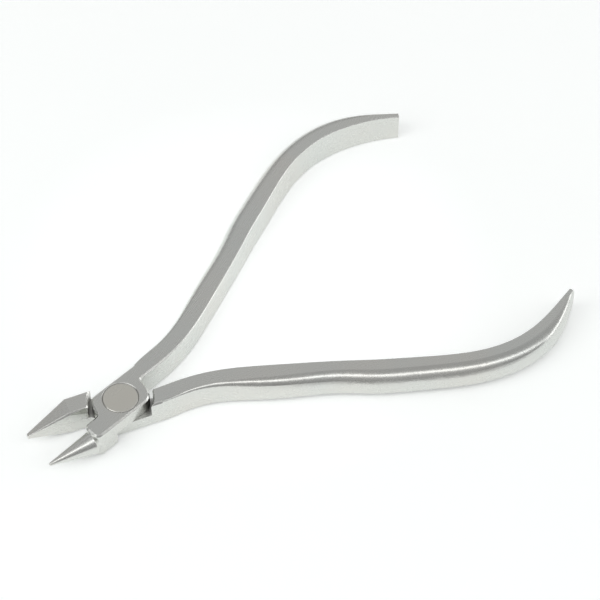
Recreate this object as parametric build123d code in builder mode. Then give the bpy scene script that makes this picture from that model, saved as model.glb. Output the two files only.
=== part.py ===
"""Lap-joint pliers with one cone beak and one pyramid beak, in millimetres.

Frame: +Z up, the pliers lie flat on z = 0, the pivot axis is the Z axis and +X runs
along the mid-line towards the beak tips.  Each lever is drawn as it stands with the
beaks shut, when the mid-line is the X axis of its own plane, and that plane is turned
about the pivot to the half-open position in which the pliers are built.  A lever's
side is +1 or -1: its handle lies on that side of the mid-line, its beak on the other.
"""
import os
from math import atan, copysign, cos, hypot, radians, sin

from build123d import *

os.makedirs("parts", exist_ok=True)

# ---- driving dimensions -------------------------------------------------------------
HALF_OPENING = 11.3          # turn of each lever from shut to the built position, degrees
THICKNESS = 7.8              # height of joint, beak roots and handles
LAP_GAP = 0.04               # play between the two halves of the lap
PLATE_HALF_WIDTH = 5.15      # the joint is a straight strip, this far each side
PLATE_RADIUS = 7.05          # round ends of each half-lap
PLATE_CORNER_RADIUS = 3.0    # the plate's free corners
SHOULDER_RADIUS = 7.9        # round recess in which the other lever's plate turns
BEVEL = 0.45                 # bevel around the joint

MID_PLAY = 0.03              # each lever stays this far off the mid-line when shut
BEAK_CROTCH_RADIUS = 1.4     # round corner between plate and beak root
HANDLE_CROTCH_RADIUS = 0.7   # the same between plate and handle root

TIP_REACH = 23.8             # pivot to beak tips
PYRAMID_START = 12.7         # ridge where the pyramid's facets begin
PYRAMID_TIP_WIDTH = 0.85
PYRAMID_TIP_HEIGHT = 1.0
PYRAMID_TIP_BEVEL = 0.06
FACET_WIDTH = 0.5            # long facet on the pyramid root's inner top edge
FACET_HEIGHT = 2.2
CONE_START = 12.0            # front of the root that the cone stands out of
CONE_NOSE_RADIUS = 1.5       # upright round corners of that front
CONE_BASE_RADIUS = 2.95
CONE_TIP_RADIUS = 0.45

HEAD_RADIUS = 4.35
HEAD_HEIGHT = 1.6
SHANK_RADIUS = 2.2
RIVET_RADIUS = 3.2           # peened rear end, flush with the underside
RIVET_HEIGHT = 1.2
RUNNING_PLAY = 0.05          # between the pin and the lever that turns on it
RIM_BEVEL = 0.16             # small bevels that draw the ring around the head

HANDLE_SET = 3.3             # the cone lever's handle stands out by this much more, degrees
HANDLE_ROOT = 9.0            # the handle proper starts this far behind the pivot
PYRAMID_ROOT_INNER = 0.3     # inner edge of the handle root, off the mid-line
CONE_ROOT_INNER = 0.85
# along a handle: x and y of its inner edge, width of the flat top, bulge of the outer side,
# how square that bulge is (2 is an ellipse), how much further in the inner side's lower edge
# stands, and the bevel of the inner edges
PYRAMID_HANDLE_START = [
    (-15.5, 0.10, 4.05, 0.65, 3.2, 0.00, 0.34),
    (-22.4, 0.62, 3.80, 1.18, 2.3, 0.00, 0.25),
]
CONE_HANDLE_START = [
    (-15.5, 0.15, 4.26, 0.72, 3.2, 0.00, 0.40),
    (-22.4, 0.65, 4.00, 1.38, 2.3, 0.00, 0.28),
]
HANDLE_STATIONS = [
    (-31.0, 2.60, 3.85, 2.10, 2.1, 0.00, 0.18),
    (-43.7, 6.70, 3.30, 3.00, 2.0, 0.10, 0.14),
    (-61.0, 12.75, 3.15, 3.45, 2.0, 0.40, 0.14),
    (-78.4, 18.35, 2.75, 3.55, 2.0, 0.60, 0.14),
    (-91.0, 20.45, 2.60, 3.45, 2.0, 0.70, 0.14),
    (-103.3, 17.95, 2.45, 3.00, 2.0, 0.75, 0.12),
    (-110.0, 14.45, 1.85, 1.95, 2.0, 0.60, 0.12),
]
HANDLE_ROOT_SHAPE = (0.45, 6.0, 0.0, BEVEL)
PYRAMID_HANDLE_END = (-115.5, 11.2, 0.95, 0.55, 2.2, 0.20, 0.10)
CONE_HANDLE_END = (-116.1, 9.5, 1.35, 0.75, 2.2, 0.20, 0.10)
SHOULDER_ANGLE = 42           # where the side's shoulders end, as met from mid-height

MID_HEIGHT = THICKNESS / 2
MID_SHOULDER = (90 + SHOULDER_ANGLE) / 2
PLATE_HEIGHT = (THICKNESS - LAP_GAP) / 2
UP = Vector(0, 0, 1)


# ---- joint and beak roots -----------------------------------------------------------
def root_outline(side, handle_inner, beak_reach, nose_radius):
    """Handle root and beak root in plan; the beak root may have round front corners."""
    with Locations((-HANDLE_ROOT / 2, side * (PLATE_HALF_WIDTH + handle_inner) / 2)):
        Rectangle(HANDLE_ROOT, PLATE_HALF_WIDTH - handle_inner)
    with BuildSketch(mode=Mode.PRIVATE) as beak_root:
        with Locations((beak_reach / 2, -side * (PLATE_HALF_WIDTH + MID_PLAY) / 2)):
            Rectangle(beak_reach, PLATE_HALF_WIDTH - MID_PLAY)
        if nose_radius:
            fillet(beak_root.vertices().group_by(Axis.X)[-1], nose_radius)
    add(beak_root.sketch)


def on_circle(outline, radius):
    """Corners of an outline that lie on the circle of this radius about the pivot."""
    return outline.vertices().filter_by(lambda v: abs(hypot(v.X, v.Y) - radius) < 0.01)


def round_crotches(outline, radius):
    """Round the two corners, near the mid-line, where a lap arc meets the roots."""
    near_mid_line = on_circle(outline, radius).filter_by(lambda v: abs(v.Y) < 1)
    fillet(near_mid_line.filter_by(lambda v: v.X > 0), BEAK_CROTCH_RADIUS)
    near_mid_line = on_circle(outline, radius).filter_by(lambda v: abs(v.Y) < 1)
    fillet(near_mid_line.filter_by(lambda v: v.X < 0), HANDLE_CROTCH_RADIUS)


def lap_half(plane, root):
    """The half of the thickness that runs through the joint as a round-ended plate."""
    with BuildSketch(plane) as outline:
        Circle(PLATE_RADIUS)
        Rectangle(2 * PLATE_RADIUS, 2 * PLATE_HALF_WIDTH, mode=Mode.INTERSECT)
        root_outline(**root)
        round_crotches(outline, PLATE_RADIUS)
        corners = on_circle(outline, PLATE_RADIUS)
        fillet(corners.filter_by(lambda v: abs(v.Y) > PLATE_HALF_WIDTH - 0.01), PLATE_CORNER_RADIUS)
    extrude(outline.sketch, amount=PLATE_HEIGHT)


def shoulder_half(plane, root):
    """The other half, cut back to round shoulders around the joint."""
    with BuildSketch(plane) as outline:
        root_outline(**root)
        Circle(SHOULDER_RADIUS, mode=Mode.SUBTRACT)
        round_crotches(outline, SHOULDER_RADIUS)
    extrude(outline.sketch, amount=THICKNESS - PLATE_HEIGHT)


def bevel_outlines(lever, plane, front):
    """Bevel the joint's top and bottom outlines, between the handle root and the front."""
    for level in (0, -1):
        edges = lever.edges().group_by(Axis.Z)[level]
        between = edges.filter_by(
            lambda e: -HANDLE_ROOT + 0.01 < plane.to_local_coords(e.center()).X < front
        )
        chamfer(between, BEVEL)


# ---- handle -------------------------------------------------------------------------
def side_point(angle, width, bulge, squareness):
    """Point of the outer side, a superellipse that is met at this angle from mid-height."""
    across = cos(radians(angle)) ** (2 / squareness)
    up = abs(sin(radians(angle))) ** (2 / squareness)
    return width + bulge * across, MID_HEIGHT * (1 + copysign(up, angle))


def handle_section(plane, width, bulge, squareness, lean, bevel):
    """Section of a handle: flat top, bottom and inner side, bulging outer side."""
    with BuildSketch(plane) as section:
        with BuildLine():
            Polyline(
                (width, THICKNESS),
                (bevel, THICKNESS),
                (0, THICKNESS - bevel),
                (-lean, bevel),
                (bevel - lean, 0),
                (width, 0),
            )
            low_shoulder, low_end, middle, high_end, high_shoulder = (
                side_point(angle, width, bulge, squareness)
                for angle in (-MID_SHOULDER, -SHOULDER_ANGLE, 0, SHOULDER_ANGLE, MID_SHOULDER)
            )
            ThreePointArc((width, 0), low_shoulder, low_end)
            ThreePointArc(low_end, middle, high_end)
            ThreePointArc(high_end, high_shoulder, (width, THICKNESS))
        make_face()
    return section.sketch


def handle(side, root_plane, root_inner, handle_plane, start, end):
    """Loft one handle along its S-shaped inner edge, from the joint to the end."""
    flat = PLATE_HALF_WIDTH - root_inner - HANDLE_ROOT_SHAPE[0]
    root = (-HANDLE_ROOT, root_inner, flat, *HANDLE_ROOT_SHAPE)
    shapes = [root, *start, *HANDLE_STATIONS, end]
    path = [root_plane.from_local_coords(Vector(root[0], side * root[1], 0))]
    for x, y, *_ in shapes[1:]:
        path.append(handle_plane.from_local_coords(Vector(x, side * y, 0)))
    inner_edge = Spline(
        *path,
        tangents=(root_plane.x_dir * -1, path[-1] - path[-2]),
        mode=Mode.PRIVATE,
    )
    sections = []
    for point, (_, _, *shape) in zip(path, shapes):
        along = inner_edge.tangent_at(inner_edge.param_at_point(point))
        outward = along.cross(UP) * side
        section_plane = Plane(origin=point, x_dir=outward, z_dir=outward.cross(UP))
        sections.append(handle_section(section_plane, *shape))
    loft(sections)


# ---- beaks --------------------------------------------------------------------------
def plane_across(plane, x):
    """Plane square to the mid-line at x: its X is across the pliers, its Y is up."""
    origin = plane.from_local_coords(Vector(x, 0, 0))
    return Plane(origin=origin, x_dir=plane.y_dir, z_dir=plane.x_dir)


def pyramid_beak(plane, side):
    """Square pyramid whose inner facet lies on the mid-line."""
    stations = (
        (PYRAMID_START, PLATE_HALF_WIDTH - MID_PLAY, THICKNESS, BEVEL),
        (TIP_REACH, PYRAMID_TIP_WIDTH, PYRAMID_TIP_HEIGHT, PYRAMID_TIP_BEVEL),
    )
    sections = []
    for x, width, height, bevel in stations:
        with BuildSketch(plane_across(plane, x)) as section:
            with Locations((-side * (MID_PLAY + width / 2), MID_HEIGHT)):
                Rectangle(width, height)
            chamfer(section.vertices(), bevel)
        sections.append(section.sketch)
    loft(sections, ruled=True)


def pyramid_root_facet(plane, side):
    """Long facet on the root's inner top edge, widest at the joint, gone at the ridge."""
    inner = -side * MID_PLAY
    sections = []
    for x, share in ((SHOULDER_RADIUS - 0.6, 1.0), (PYRAMID_START, 0.3)):
        width = side * FACET_WIDTH * share
        height = FACET_HEIGHT * share
        with BuildSketch(plane_across(plane, x)) as section:
            with BuildLine():
                Polyline(
                    (inner, THICKNESS - height),
                    (inner + width, THICKNESS - height),
                    (inner + width, THICKNESS + height),
                    (inner - width, THICKNESS + height),
                    (inner - width, THICKNESS),
                    close=True,
                )
            make_face()
        sections.append(section.sketch)
    loft(sections, ruled=True, mode=Mode.SUBTRACT)


def cone_beak(plane, side):
    """Cone with a round tip; one of its straight lines lies on the mid-line."""
    length = TIP_REACH - CONE_START - CONE_TIP_RADIUS
    slope = atan((CONE_BASE_RADIUS - CONE_TIP_RADIUS) / length)
    start = Vector(CONE_START, -side * (MID_PLAY + CONE_BASE_RADIUS * cos(slope)), MID_HEIGHT)
    along = plane.x_dir * cos(slope) + plane.y_dir * (side * sin(slope))
    axis_plane = Plane(origin=plane.from_local_coords(start), x_dir=along, z_dir=UP)
    rooted = -2 * CONE_BASE_RADIUS / 3
    with BuildSketch(axis_plane) as profile:
        with BuildLine():
            Polyline(
                (length + CONE_TIP_RADIUS, 0),
                (rooted, 0),
                (rooted, CONE_BASE_RADIUS / 2),
                (0, CONE_BASE_RADIUS),
                (length, CONE_TIP_RADIUS),
            )
            RadiusArc((length, CONE_TIP_RADIUS), (length + CONE_TIP_RADIUS, 0), CONE_TIP_RADIUS)
        make_face()
    revolve(profile.sketch, axis=Axis(axis_plane.origin, axis_plane.x_dir))


# ---- the two levers -----------------------------------------------------------------
pyramid_plane = Plane.XY.rotated((0, 0, -HALF_OPENING))
pyramid_root = {
    "side": 1,
    "handle_inner": PYRAMID_ROOT_INNER,
    "beak_reach": PYRAMID_START,
    "nose_radius": 0,
}
with BuildPart() as pyramid_jaw_lever:
    lap_half(pyramid_plane, pyramid_root)
    shoulder_half(pyramid_plane.offset(PLATE_HEIGHT), pyramid_root)
    bevel_outlines(pyramid_jaw_lever, pyramid_plane, PYRAMID_START - 0.01)
    handle(
        1, pyramid_plane, PYRAMID_ROOT_INNER,
        pyramid_plane, PYRAMID_HANDLE_START, PYRAMID_HANDLE_END,
    )
    pyramid_beak(pyramid_plane, 1)
    pyramid_root_facet(pyramid_plane, 1)
    upright = (Align.CENTER, Align.CENTER, Align.MIN)
    Cylinder(SHANK_RADIUS, THICKNESS, align=upright, mode=Mode.SUBTRACT)
    Cone(RIVET_RADIUS, SHANK_RADIUS, RIVET_HEIGHT, align=upright, mode=Mode.SUBTRACT)
pyramid_jaw_lever.part.label = "pyramid_jaw_lever"

cone_plane = Plane.XY.rotated((0, 0, HALF_OPENING))
cone_handle_plane = Plane.XY.rotated((0, 0, HALF_OPENING + HANDLE_SET))
cone_root = {
    "side": -1,
    "handle_inner": CONE_ROOT_INNER,
    "beak_reach": CONE_START,
    "nose_radius": CONE_NOSE_RADIUS,
}
with BuildPart() as cone_jaw_lever:
    lap_half(cone_plane.offset(THICKNESS - PLATE_HEIGHT), cone_root)
    shoulder_half(cone_plane, cone_root)
    bevel_outlines(cone_jaw_lever, cone_plane, CONE_START + 0.01)
    handle(
        -1, cone_plane, CONE_ROOT_INNER,
        cone_handle_plane, CONE_HANDLE_START, CONE_HANDLE_END,
    )
    cone_beak(cone_plane, -1)
    with Locations((0, 0, THICKNESS)):
        CounterBoreHole(SHANK_RADIUS + RUNNING_PLAY, HEAD_RADIUS + RUNNING_PLAY, HEAD_HEIGHT)
    top_circles = cone_jaw_lever.edges().filter_by(GeomType.CIRCLE).group_by(Axis.Z)[-1]
    seat_radius = HEAD_RADIUS + RUNNING_PLAY
    chamfer(top_circles.filter_by(lambda e: abs(e.radius - seat_radius) < 0.01), RIM_BEVEL)
cone_jaw_lever.part.label = "cone_jaw_lever"


# ---- pivot pin ----------------------------------------------------------------------
with BuildPart() as pivot_pin:
    with BuildSketch(Plane.XZ):
        with BuildLine():
            Polyline(
                (0, 0),
                (RIVET_RADIUS, 0),
                (SHANK_RADIUS, RIVET_HEIGHT),
                (SHANK_RADIUS, THICKNESS - HEAD_HEIGHT),
                (HEAD_RADIUS, THICKNESS - HEAD_HEIGHT),
                (HEAD_RADIUS, THICKNESS - RIM_BEVEL),
                (HEAD_RADIUS - RIM_BEVEL, THICKNESS),
                (0, THICKNESS),
                close=True,
            )
        make_face()
    revolve(axis=Axis.Z)
pivot_pin.part.label = "pivot_pin"

export_step(pyramid_jaw_lever.part, "parts/pyramid_jaw_lever.step")
export_step(cone_jaw_lever.part, "parts/cone_jaw_lever.step")
export_step(pivot_pin.part, "parts/pivot_pin.step")
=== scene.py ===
"""Round and pyramid nose pliers on a pale table: finishes, light and camera around the CAD frame."""
from math import cos, pi, radians, sin

import bpy
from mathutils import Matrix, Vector


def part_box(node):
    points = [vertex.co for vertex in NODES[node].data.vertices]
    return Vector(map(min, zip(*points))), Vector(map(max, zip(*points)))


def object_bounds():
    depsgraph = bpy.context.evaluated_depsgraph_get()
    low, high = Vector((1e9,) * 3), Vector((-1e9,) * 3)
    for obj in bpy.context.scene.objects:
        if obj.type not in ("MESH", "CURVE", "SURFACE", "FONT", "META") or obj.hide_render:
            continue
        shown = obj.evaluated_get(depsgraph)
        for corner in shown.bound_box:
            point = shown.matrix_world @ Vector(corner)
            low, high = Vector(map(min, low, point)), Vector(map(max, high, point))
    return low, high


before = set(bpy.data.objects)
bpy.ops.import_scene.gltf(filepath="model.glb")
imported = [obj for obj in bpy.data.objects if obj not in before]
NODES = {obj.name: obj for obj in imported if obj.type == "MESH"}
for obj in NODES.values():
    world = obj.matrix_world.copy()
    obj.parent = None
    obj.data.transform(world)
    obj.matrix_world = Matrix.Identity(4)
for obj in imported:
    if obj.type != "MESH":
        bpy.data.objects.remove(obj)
cad_low, cad_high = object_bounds()

MM = 0.001
TOP = cad_high.z
TABLE = cad_low.z
PIN_LOW, PIN_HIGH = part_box("pivot_pin")
HEAD_RADIUS = (PIN_HIGH.x - PIN_LOW.x) / 2

# ---- camera --------------------------------------------------------------------------
# azimuth 0 looks along +Y and 90 along -X
VIEW_AZIMUTH = 146.1
VIEW_ELEVATION = 51.0
VIEW_DISTANCE = 549.2 * MM
VIEW_CENTRE = Vector((-52.8 * MM, -1.0 * MM, TOP))
LENS = 132.0                 # on a 36 mm sensor
CLIP_START = 10 * MM

# ---- studio --------------------------------------------------------------------------
FLOOR_SIZE = 6.0             # metres
FLOOR_COLOUR = (0.912, 0.930, 0.922, 1)
FLOOR_DARKEST = 0.985        # the floor's faint patches are this much of its colour
FLOOR_PATCH = 0.4            # size of those patches, metres
FLOOR_ROUGHNESS = 0.9
FLOOR_SPECULAR = 0.2
FLOOR_GLOW = 0.36            # painted light: the table top glows a little, though no lamp lights it, and glows more around one place between the handles, a painted pool of light
BRIGHT_GLOW = 0.52           # and more around one place between the handles
BRIGHT_PLACE = Vector((-50 * MM, -18 * MM, 0))   # on the table, in its own frame
BRIGHT_REACH = 65 * MM       # the brighter place fades out within this distance
ROOM = (
    # elevation in degrees and brightness: a low pale backdrop, a dim wall, an even ceiling
    (0, 0.86),
    (5, 0.86),
    (6.5, 0.29),
    (24, 0.29),
    (36, 0.40),
)
PANEL_DISTANCE = 0.9         # from the middle of the view
PANELS = (
    # name, azimuth from the camera and elevation in degrees, width and height in metres, radiance
    ("softbox_core", 0, 66, 3.2, 0.15, 1.7),
    ("softbox_rim", 0, 66, 3.2, 0.36, 0.55),
    ("fill_behind", 180, 38, 2.4, 0.75, 0.15),
    ("strip_right", 100, 16, 0.7, 0.20, 1.9),
    ("key_left", -60, 45, 0.7, 0.8, 0.9),
)

# ---- steel ---------------------------------------------------------------------------
COOL_STEEL = (0.685, 0.700, 0.675, 1)
WARM_STEEL = (0.708, 0.702, 0.668, 1)
# lighter steel beside the edges: partly wear, partly a painted highlight
WORN_AND_HIGHLIT_STEEL = (0.80, 0.80, 0.78, 1)
# colour of the painted shade in the joint's gaps, and of the dried oil in the ring around the pin's
# head
SHADE_AND_OIL_COLOUR = (0.135, 0.13, 0.12, 1)
COOL_PIVOT = (0.745, 0.735, 0.680, 1)
WARM_PIVOT = (0.765, 0.745, 0.670, 1)
SATIN_ROUGHNESS = 0.27
PIVOT_ROUGHNESS = 0.30
UNEVEN_ROUGHNESS = 0.02      # roughness varies by this much over the waves
MARK_ROUGHNESS = 0.02        # and by this much over the marks
EDGE_POLISH = 0.06           # worn edges are this much smoother
SHADE_AND_OIL_ROUGHNESS = 0.25       # and this much rougher where the painted shade or the seam's dried oil darkens the steel
EDGE_RADIUS = 0.13 * MM      # sharp edges are softened by this much
WEAR_AND_HIGHLIGHT_RADIUS = 0.25 * MM      # the lighter colour beside an edge, part wear and part painted highlight, reaches this far
FULL_WEAR_AND_HIGHLIGHT = 0.96             # cosine of the normal's turn where wear and painted highlight are full
NO_WEAR_AND_HIGHLIGHT = 0.999              # and where there is none
RECESS_DEPTH = 3.0 * MM      # a surface with another this near in front of it takes painted shade
FULL_GAP_SHADE = 0.12            # share of open directions where the painted shade is full
NO_GAP_SHADE = 0.45              # and where there is none
MASK_SAMPLES = 8             # rays per point for these masks and for the softened edges
CLOUD_LENGTH = 18 * MM       # size of the faint cool and warm patches
WAVE_LENGTH = 7 * MM         # size of the dents and waves left by hand grinding
WAVE_DEPTH = 0.014 * MM      # height of those waves
GRIND_LENGTH = 16 * MM       # coarser lines of the grinding belt
GRIND_WIDTH = 0.40 * MM
SCRATCH_LENGTH = 6 * MM      # fine lines of the satin brush
SCRATCH_WIDTH = 0.11 * MM
MARK_DEPTH = 0.0002 * MM     # height of the belt's and the brush's lines
BRUSH_TURN = 7               # the brush was drawn this much across the belt's lines, degrees
RING_PITCH = 0.25 * MM       # turning marks on the pin's ends
RING_DISTORTION = 1.5
SEAM_WIDTH = 0.45 * MM       # oil that has dried in the ring around the pin's head
SEAM_GRIME = 0.22            # how much of the grime it takes
PYRAMID_HANDLE_TURN = -24    # the way that each handle runs, from the X axis, degrees
CONE_HANDLE_TURN = 27


# ---- node helpers --------------------------------------------------------------------
def new_material(name):
    """Empty node material: its node tree and its Principled shader, joined to the output."""
    material = bpy.data.materials.new(name)
    material.use_nodes = True
    tree = material.node_tree
    tree.nodes.clear()
    shader = tree.nodes.new("ShaderNodeBsdfPrincipled")
    output = tree.nodes.new("ShaderNodeOutputMaterial")
    tree.links.new(shader.outputs["BSDF"], output.inputs["Surface"])
    return material, tree, shader


def feed(tree, socket, value):
    """Give an input socket a value, or link it to another node's output."""
    if isinstance(value, bpy.types.NodeSocket):
        tree.links.new(value, socket)
    else:
        socket.default_value = value


def noise(tree, vector, length, detail=3.0):
    """Noise around one half whose features are about this long."""
    made = tree.nodes.new("ShaderNodeTexNoise")
    feed(tree, made.inputs["Vector"], vector)
    feed(tree, made.inputs["Scale"], 1 / length)
    feed(tree, made.inputs["Detail"], detail)
    return made.outputs["Fac"]


def lines(tree, vector, turn, length, width):
    """Straight lines of this size that run at this angle to the X axis, in degrees."""
    mapping = tree.nodes.new("ShaderNodeMapping")
    mapping.vector_type = "TEXTURE"
    feed(tree, mapping.inputs["Vector"], vector)
    feed(tree, mapping.inputs["Rotation"], (0, 0, radians(turn)))
    feed(tree, mapping.inputs["Scale"], (length / width, 1, 1))
    return noise(tree, mapping.outputs["Vector"], width, detail=1.0)


def remap(tree, value, low, high, from_low=0.3, from_high=0.7):
    """A value between two others that follows a noise or a mask."""
    made = tree.nodes.new("ShaderNodeMapRange")
    feed(tree, made.inputs["Value"], value)
    feed(tree, made.inputs["From Min"], from_low)
    feed(tree, made.inputs["From Max"], from_high)
    feed(tree, made.inputs["To Min"], low)
    feed(tree, made.inputs["To Max"], high)
    return made.outputs["Result"]


def maths(tree, operation, first, second):
    """Two values or numbers joined by a maths operation."""
    made = tree.nodes.new("ShaderNodeMath")
    made.operation = operation
    feed(tree, made.inputs[0], first)
    feed(tree, made.inputs[1], second)
    return made.outputs["Value"]


def colours(tree, factor, first, second):
    """Mix of two colours by a factor."""
    made = tree.nodes.new("ShaderNodeMix")
    made.data_type = "RGBA"
    inputs = {socket.identifier: socket for socket in made.inputs}
    feed(tree, inputs["Factor_Float"], factor)
    feed(tree, inputs["A_Color"], first)
    feed(tree, inputs["B_Color"], second)
    return next(s for s in made.outputs if s.identifier == "Result_Color")


def bump(tree, height, depth, normal):
    """Normal that is tilted by a height between 0 and 1, of this depth in metres."""
    made = tree.nodes.new("ShaderNodeBump")
    feed(tree, made.inputs["Height"], height)
    feed(tree, made.inputs["Distance"], depth)
    feed(tree, made.inputs["Normal"], normal)
    return made.outputs["Normal"]


def rounded_normal(tree, radius):
    """Normal that turns smoothly over every edge, within this radius."""
    rounded = tree.nodes.new("ShaderNodeBevel")
    rounded.samples = MASK_SAMPLES
    feed(tree, rounded.inputs["Radius"], radius)
    return rounded.outputs["Normal"]


def edge_wear_and_highlight(tree):
    """Mask of wear and painted highlight that is 1 beside sharp edges, less beside blunt ones, and 0
    elsewhere.
    """
    geometry = tree.nodes.new("ShaderNodeNewGeometry")
    dot = tree.nodes.new("ShaderNodeVectorMath")
    dot.operation = "DOT_PRODUCT"
    feed(tree, dot.inputs[0], rounded_normal(tree, WEAR_AND_HIGHLIGHT_RADIUS))
    feed(tree, dot.inputs[1], geometry.outputs["Normal"])
    return remap(tree, dot.outputs["Value"], 1.0, 0.0, from_low=FULL_WEAR_AND_HIGHLIGHT, from_high=NO_WEAR_AND_HIGHLIGHT)


def painted_gap_shade(tree):
    """Painted shade: mask from occlusion that is 1 deep in the joint's gaps and 0 on open faces."""
    occlusion = tree.nodes.new("ShaderNodeAmbientOcclusion")
    occlusion.samples = MASK_SAMPLES
    feed(tree, occlusion.inputs["Distance"], RECESS_DEPTH)
    return remap(tree, occlusion.outputs["AO"], 1.0, 0.0, from_low=FULL_GAP_SHADE, from_high=NO_GAP_SHADE)


def head_seam(tree, place):
    """Mask along the ring where the pin's head meets its seat, around the pivot axis."""
    flat = tree.nodes.new("ShaderNodeVectorMath")
    flat.operation = "MULTIPLY"
    feed(tree, flat.inputs[0], place)
    feed(tree, flat.inputs[1], (1, 1, 0))
    radius = tree.nodes.new("ShaderNodeVectorMath")
    radius.operation = "LENGTH"
    feed(tree, radius.inputs[0], flat.outputs["Vector"])
    off_seam = maths(tree, "ABSOLUTE", maths(
        tree, "SUBTRACT", radius.outputs["Value"], HEAD_RADIUS), 0.0)
    return remap(tree, off_seam, SEAM_GRIME, 0.0, from_low=0.0, from_high=SEAM_WIDTH / 2)


# ---- finishes ------------------------------------------------------------------------
def steel(name, cool, warm, roughness, marks, has_seam):
    """Satin steel: faint patches, ground waves, fine marks, edges lightened by wear and by a painted
    highlight, painted shade in the joint's gaps and, where asked, dried oil in the ring around the
    pin's head.
    """
    material, tree, shader = new_material(name)
    place = tree.nodes.new("ShaderNodeTexCoord").outputs["Object"]
    # wear and painted highlight beside the edges
    edge = edge_wear_and_highlight(tree)
    # painted shade where other surfaces stand near, deep in the joint's gaps
    gap_shade_and_oil = painted_gap_shade(tree)
    # the dried oil in the ring around the pin's head joins the painted shade in one mask
    if has_seam:
        gap_shade_and_oil = maths(tree, "MAXIMUM", gap_shade_and_oil, head_seam(tree, place))
    cloud = noise(tree, place, CLOUD_LENGTH, detail=2.0)
    mark = marks(tree, place)
    patches = colours(tree, remap(tree, cloud, 0.0, 1.0), cool, warm)
    # the edges are lightened, partly by wear and partly as a painted highlight
    worn_and_highlit = colours(tree, edge, patches, WORN_AND_HIGHLIT_STEEL)
    # painted shade, and the seam's dried oil, darken the colour
    feed(tree, shader.inputs["Base Color"], colours(tree, gap_shade_and_oil, worn_and_highlit, SHADE_AND_OIL_COLOUR))
    uneven = remap(
        tree, noise(tree, place, WAVE_LENGTH),
        roughness - UNEVEN_ROUGHNESS, roughness + UNEVEN_ROUGHNESS)
    marked = maths(tree, "ADD", uneven, remap(tree, mark, -MARK_ROUGHNESS, MARK_ROUGHNESS))
    polished = maths(tree, "SUBTRACT", marked, maths(tree, "MULTIPLY", edge, EDGE_POLISH))
    rougher_where_darkened = maths(tree, "MULTIPLY", gap_shade_and_oil, SHADE_AND_OIL_ROUGHNESS)
    feed(tree, shader.inputs["Roughness"], maths(tree, "ADD", polished, rougher_where_darkened))
    wave = noise(tree, place, WAVE_LENGTH, detail=1.0)
    normal = bump(tree, wave, WAVE_DEPTH, rounded_normal(tree, EDGE_RADIUS))
    feed(tree, shader.inputs["Normal"], bump(tree, mark, MARK_DEPTH, normal))
    shader.inputs["Metallic"].default_value = 1.0
    return material


def brushed(turn):
    """Marks of a belt and a satin brush that were drawn along a handle."""
    def marks(tree, place):
        belt = lines(tree, place, turn, GRIND_LENGTH, GRIND_WIDTH)
        brush = lines(tree, place, turn + BRUSH_TURN, SCRATCH_LENGTH, SCRATCH_WIDTH)
        return maths(tree, "MULTIPLY", maths(tree, "ADD", belt, brush), 0.5)
    return marks


def turned(tree, place):
    """Marks of turning: rings around the pivot axis, broken up a little."""
    rings = tree.nodes.new("ShaderNodeTexWave")
    rings.wave_type = "RINGS"
    rings.rings_direction = "Z"
    feed(tree, rings.inputs["Vector"], place)
    feed(tree, rings.inputs["Scale"], pi / (10 * RING_PITCH))
    feed(tree, rings.inputs["Distortion"], RING_DISTORTION)
    feed(tree, rings.inputs["Detail"], 2.0)
    brush = lines(tree, place, CONE_HANDLE_TURN, SCRATCH_LENGTH, SCRATCH_WIDTH)
    return maths(tree, "MULTIPLY", maths(tree, "ADD", rings.outputs["Fac"], brush), 0.5)


def set_finish(name, material):
    """Every face of a CAD node takes this material."""
    mesh = NODES[name].data
    mesh.materials.clear()
    mesh.materials.append(material)


for lever, handle_turn, has_seam in (
    ("pyramid_jaw_lever", PYRAMID_HANDLE_TURN, False),
    ("cone_jaw_lever", CONE_HANDLE_TURN, True),
):
    set_finish(lever, steel(
        "satin_" + lever, COOL_STEEL, WARM_STEEL, SATIN_ROUGHNESS, brushed(handle_turn), has_seam))
set_finish("pivot_pin", steel(
    "pivot_steel", COOL_PIVOT, WARM_PIVOT, PIVOT_ROUGHNESS, turned, True))


# ---- studio --------------------------------------------------------------------------
def direction(azimuth, elevation):
    """Unit vector from the object towards something seen at this azimuth and elevation."""
    a, e = radians(azimuth), radians(elevation)
    return Vector((sin(a) * cos(e), -cos(a) * cos(e), sin(e)))


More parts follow.
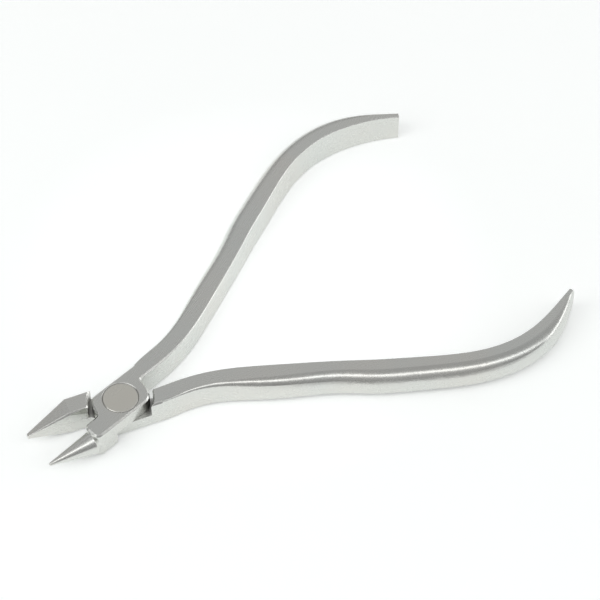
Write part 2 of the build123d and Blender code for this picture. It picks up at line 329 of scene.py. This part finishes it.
def make_floor():
    """Plain pale table top with very faint patches; it glows as painted light, and glows more around
    one place as a painted pool of light.
    """
    bpy.ops.mesh.primitive_plane_add(size=FLOOR_SIZE, location=(0, 0, TABLE))
    floor = bpy.context.object
    floor.name = "floor"
    material, tree, shader = new_material("pale_table")
    place = tree.nodes.new("ShaderNodeTexCoord").outputs["Object"]
    tint = remap(tree, noise(tree, place, FLOOR_PATCH), 0.0, 1.0)
    darker = tuple(FLOOR_DARKEST * part for part in FLOOR_COLOUR[:3]) + (1,)
    feed(tree, shader.inputs["Base Color"], colours(tree, tint, FLOOR_COLOUR, darker))
    shader.inputs["Roughness"].default_value = FLOOR_ROUGHNESS
    shader.inputs["Specular IOR Level"].default_value = FLOOR_SPECULAR
    # painted light: the table top glows though it is no lamp
    shader.inputs["Emission Color"].default_value = FLOOR_COLOUR
    away = tree.nodes.new("ShaderNodeVectorMath")
    away.operation = "DISTANCE"
    feed(tree, away.inputs[0], place)
    feed(tree, away.inputs[1], BRIGHT_PLACE)
    # painted pool of light around BRIGHT_PLACE, fading to the even painted glow within BRIGHT_REACH
    feed(tree, shader.inputs["Emission Strength"], remap(
        tree, away.outputs["Value"], BRIGHT_GLOW, FLOOR_GLOW, from_low=0.0, from_high=BRIGHT_REACH))
    floor.data.materials.append(material)


def add_panel(name, azimuth, elevation, width, height, radiance):
    """Rectangular area light that faces the pliers and shows as this bright in a mirror."""
    light = bpy.data.lights.new(name, "AREA")
    light.shape = "RECTANGLE"
    light.size = width
    light.size_y = height
    light.energy = radiance * pi * width * height
    lamp = bpy.data.objects.new(name, light)
    lamp.location = VIEW_CENTRE + direction(azimuth, elevation) * PANEL_DISTANCE
    lamp.rotation_euler = direction(azimuth, elevation).to_track_quat("Z", "Y").to_euler()
    bpy.context.scene.collection.objects.link(lamp)


def make_room():
    """Soft light from all around, which changes only with the height above the table."""
    world = bpy.data.worlds.new("room")
    world.use_nodes = True
    tree = world.node_tree
    height = tree.nodes.new("ShaderNodeSeparateXYZ")
    feed(tree, height.inputs["Vector"], tree.nodes.new("ShaderNodeTexCoord").outputs["Generated"])
    ramp = tree.nodes.new("ShaderNodeValToRGB")
    feed(tree, ramp.inputs["Fac"], height.outputs["Z"])
    stops = ramp.color_ramp.elements
    while len(stops) < len(ROOM):
        stops.new(1.0)
    for stop, (elevation, brightness) in zip(stops, ROOM):
        stop.position = sin(radians(elevation))
        stop.color = (brightness, brightness, brightness, 1)
    feed(tree, tree.nodes["Background"].inputs["Color"], ramp.outputs["Color"])
    bpy.context.scene.world = world
    bpy.context.scene.view_settings.view_transform = "Standard"


def make_camera():
    """Camera at the viewing angle, with the whole tool in its square frame."""
    data = bpy.data.cameras.new("camera")
    data.lens = LENS
    data.clip_start = CLIP_START
    camera = bpy.data.objects.new("camera", data)
    towards = direction(VIEW_AZIMUTH, VIEW_ELEVATION)
    camera.location = VIEW_CENTRE + towards * VIEW_DISTANCE
    camera.rotation_euler = towards.to_track_quat("Z", "Y").to_euler()
    bpy.context.scene.collection.objects.link(camera)
    bpy.context.scene.camera = camera


make_floor()
make_room()
for name, turn, elevation, width, height, radiance in PANELS:
    add_panel(name, VIEW_AZIMUTH + turn, elevation, width, height, radiance)
make_camera()
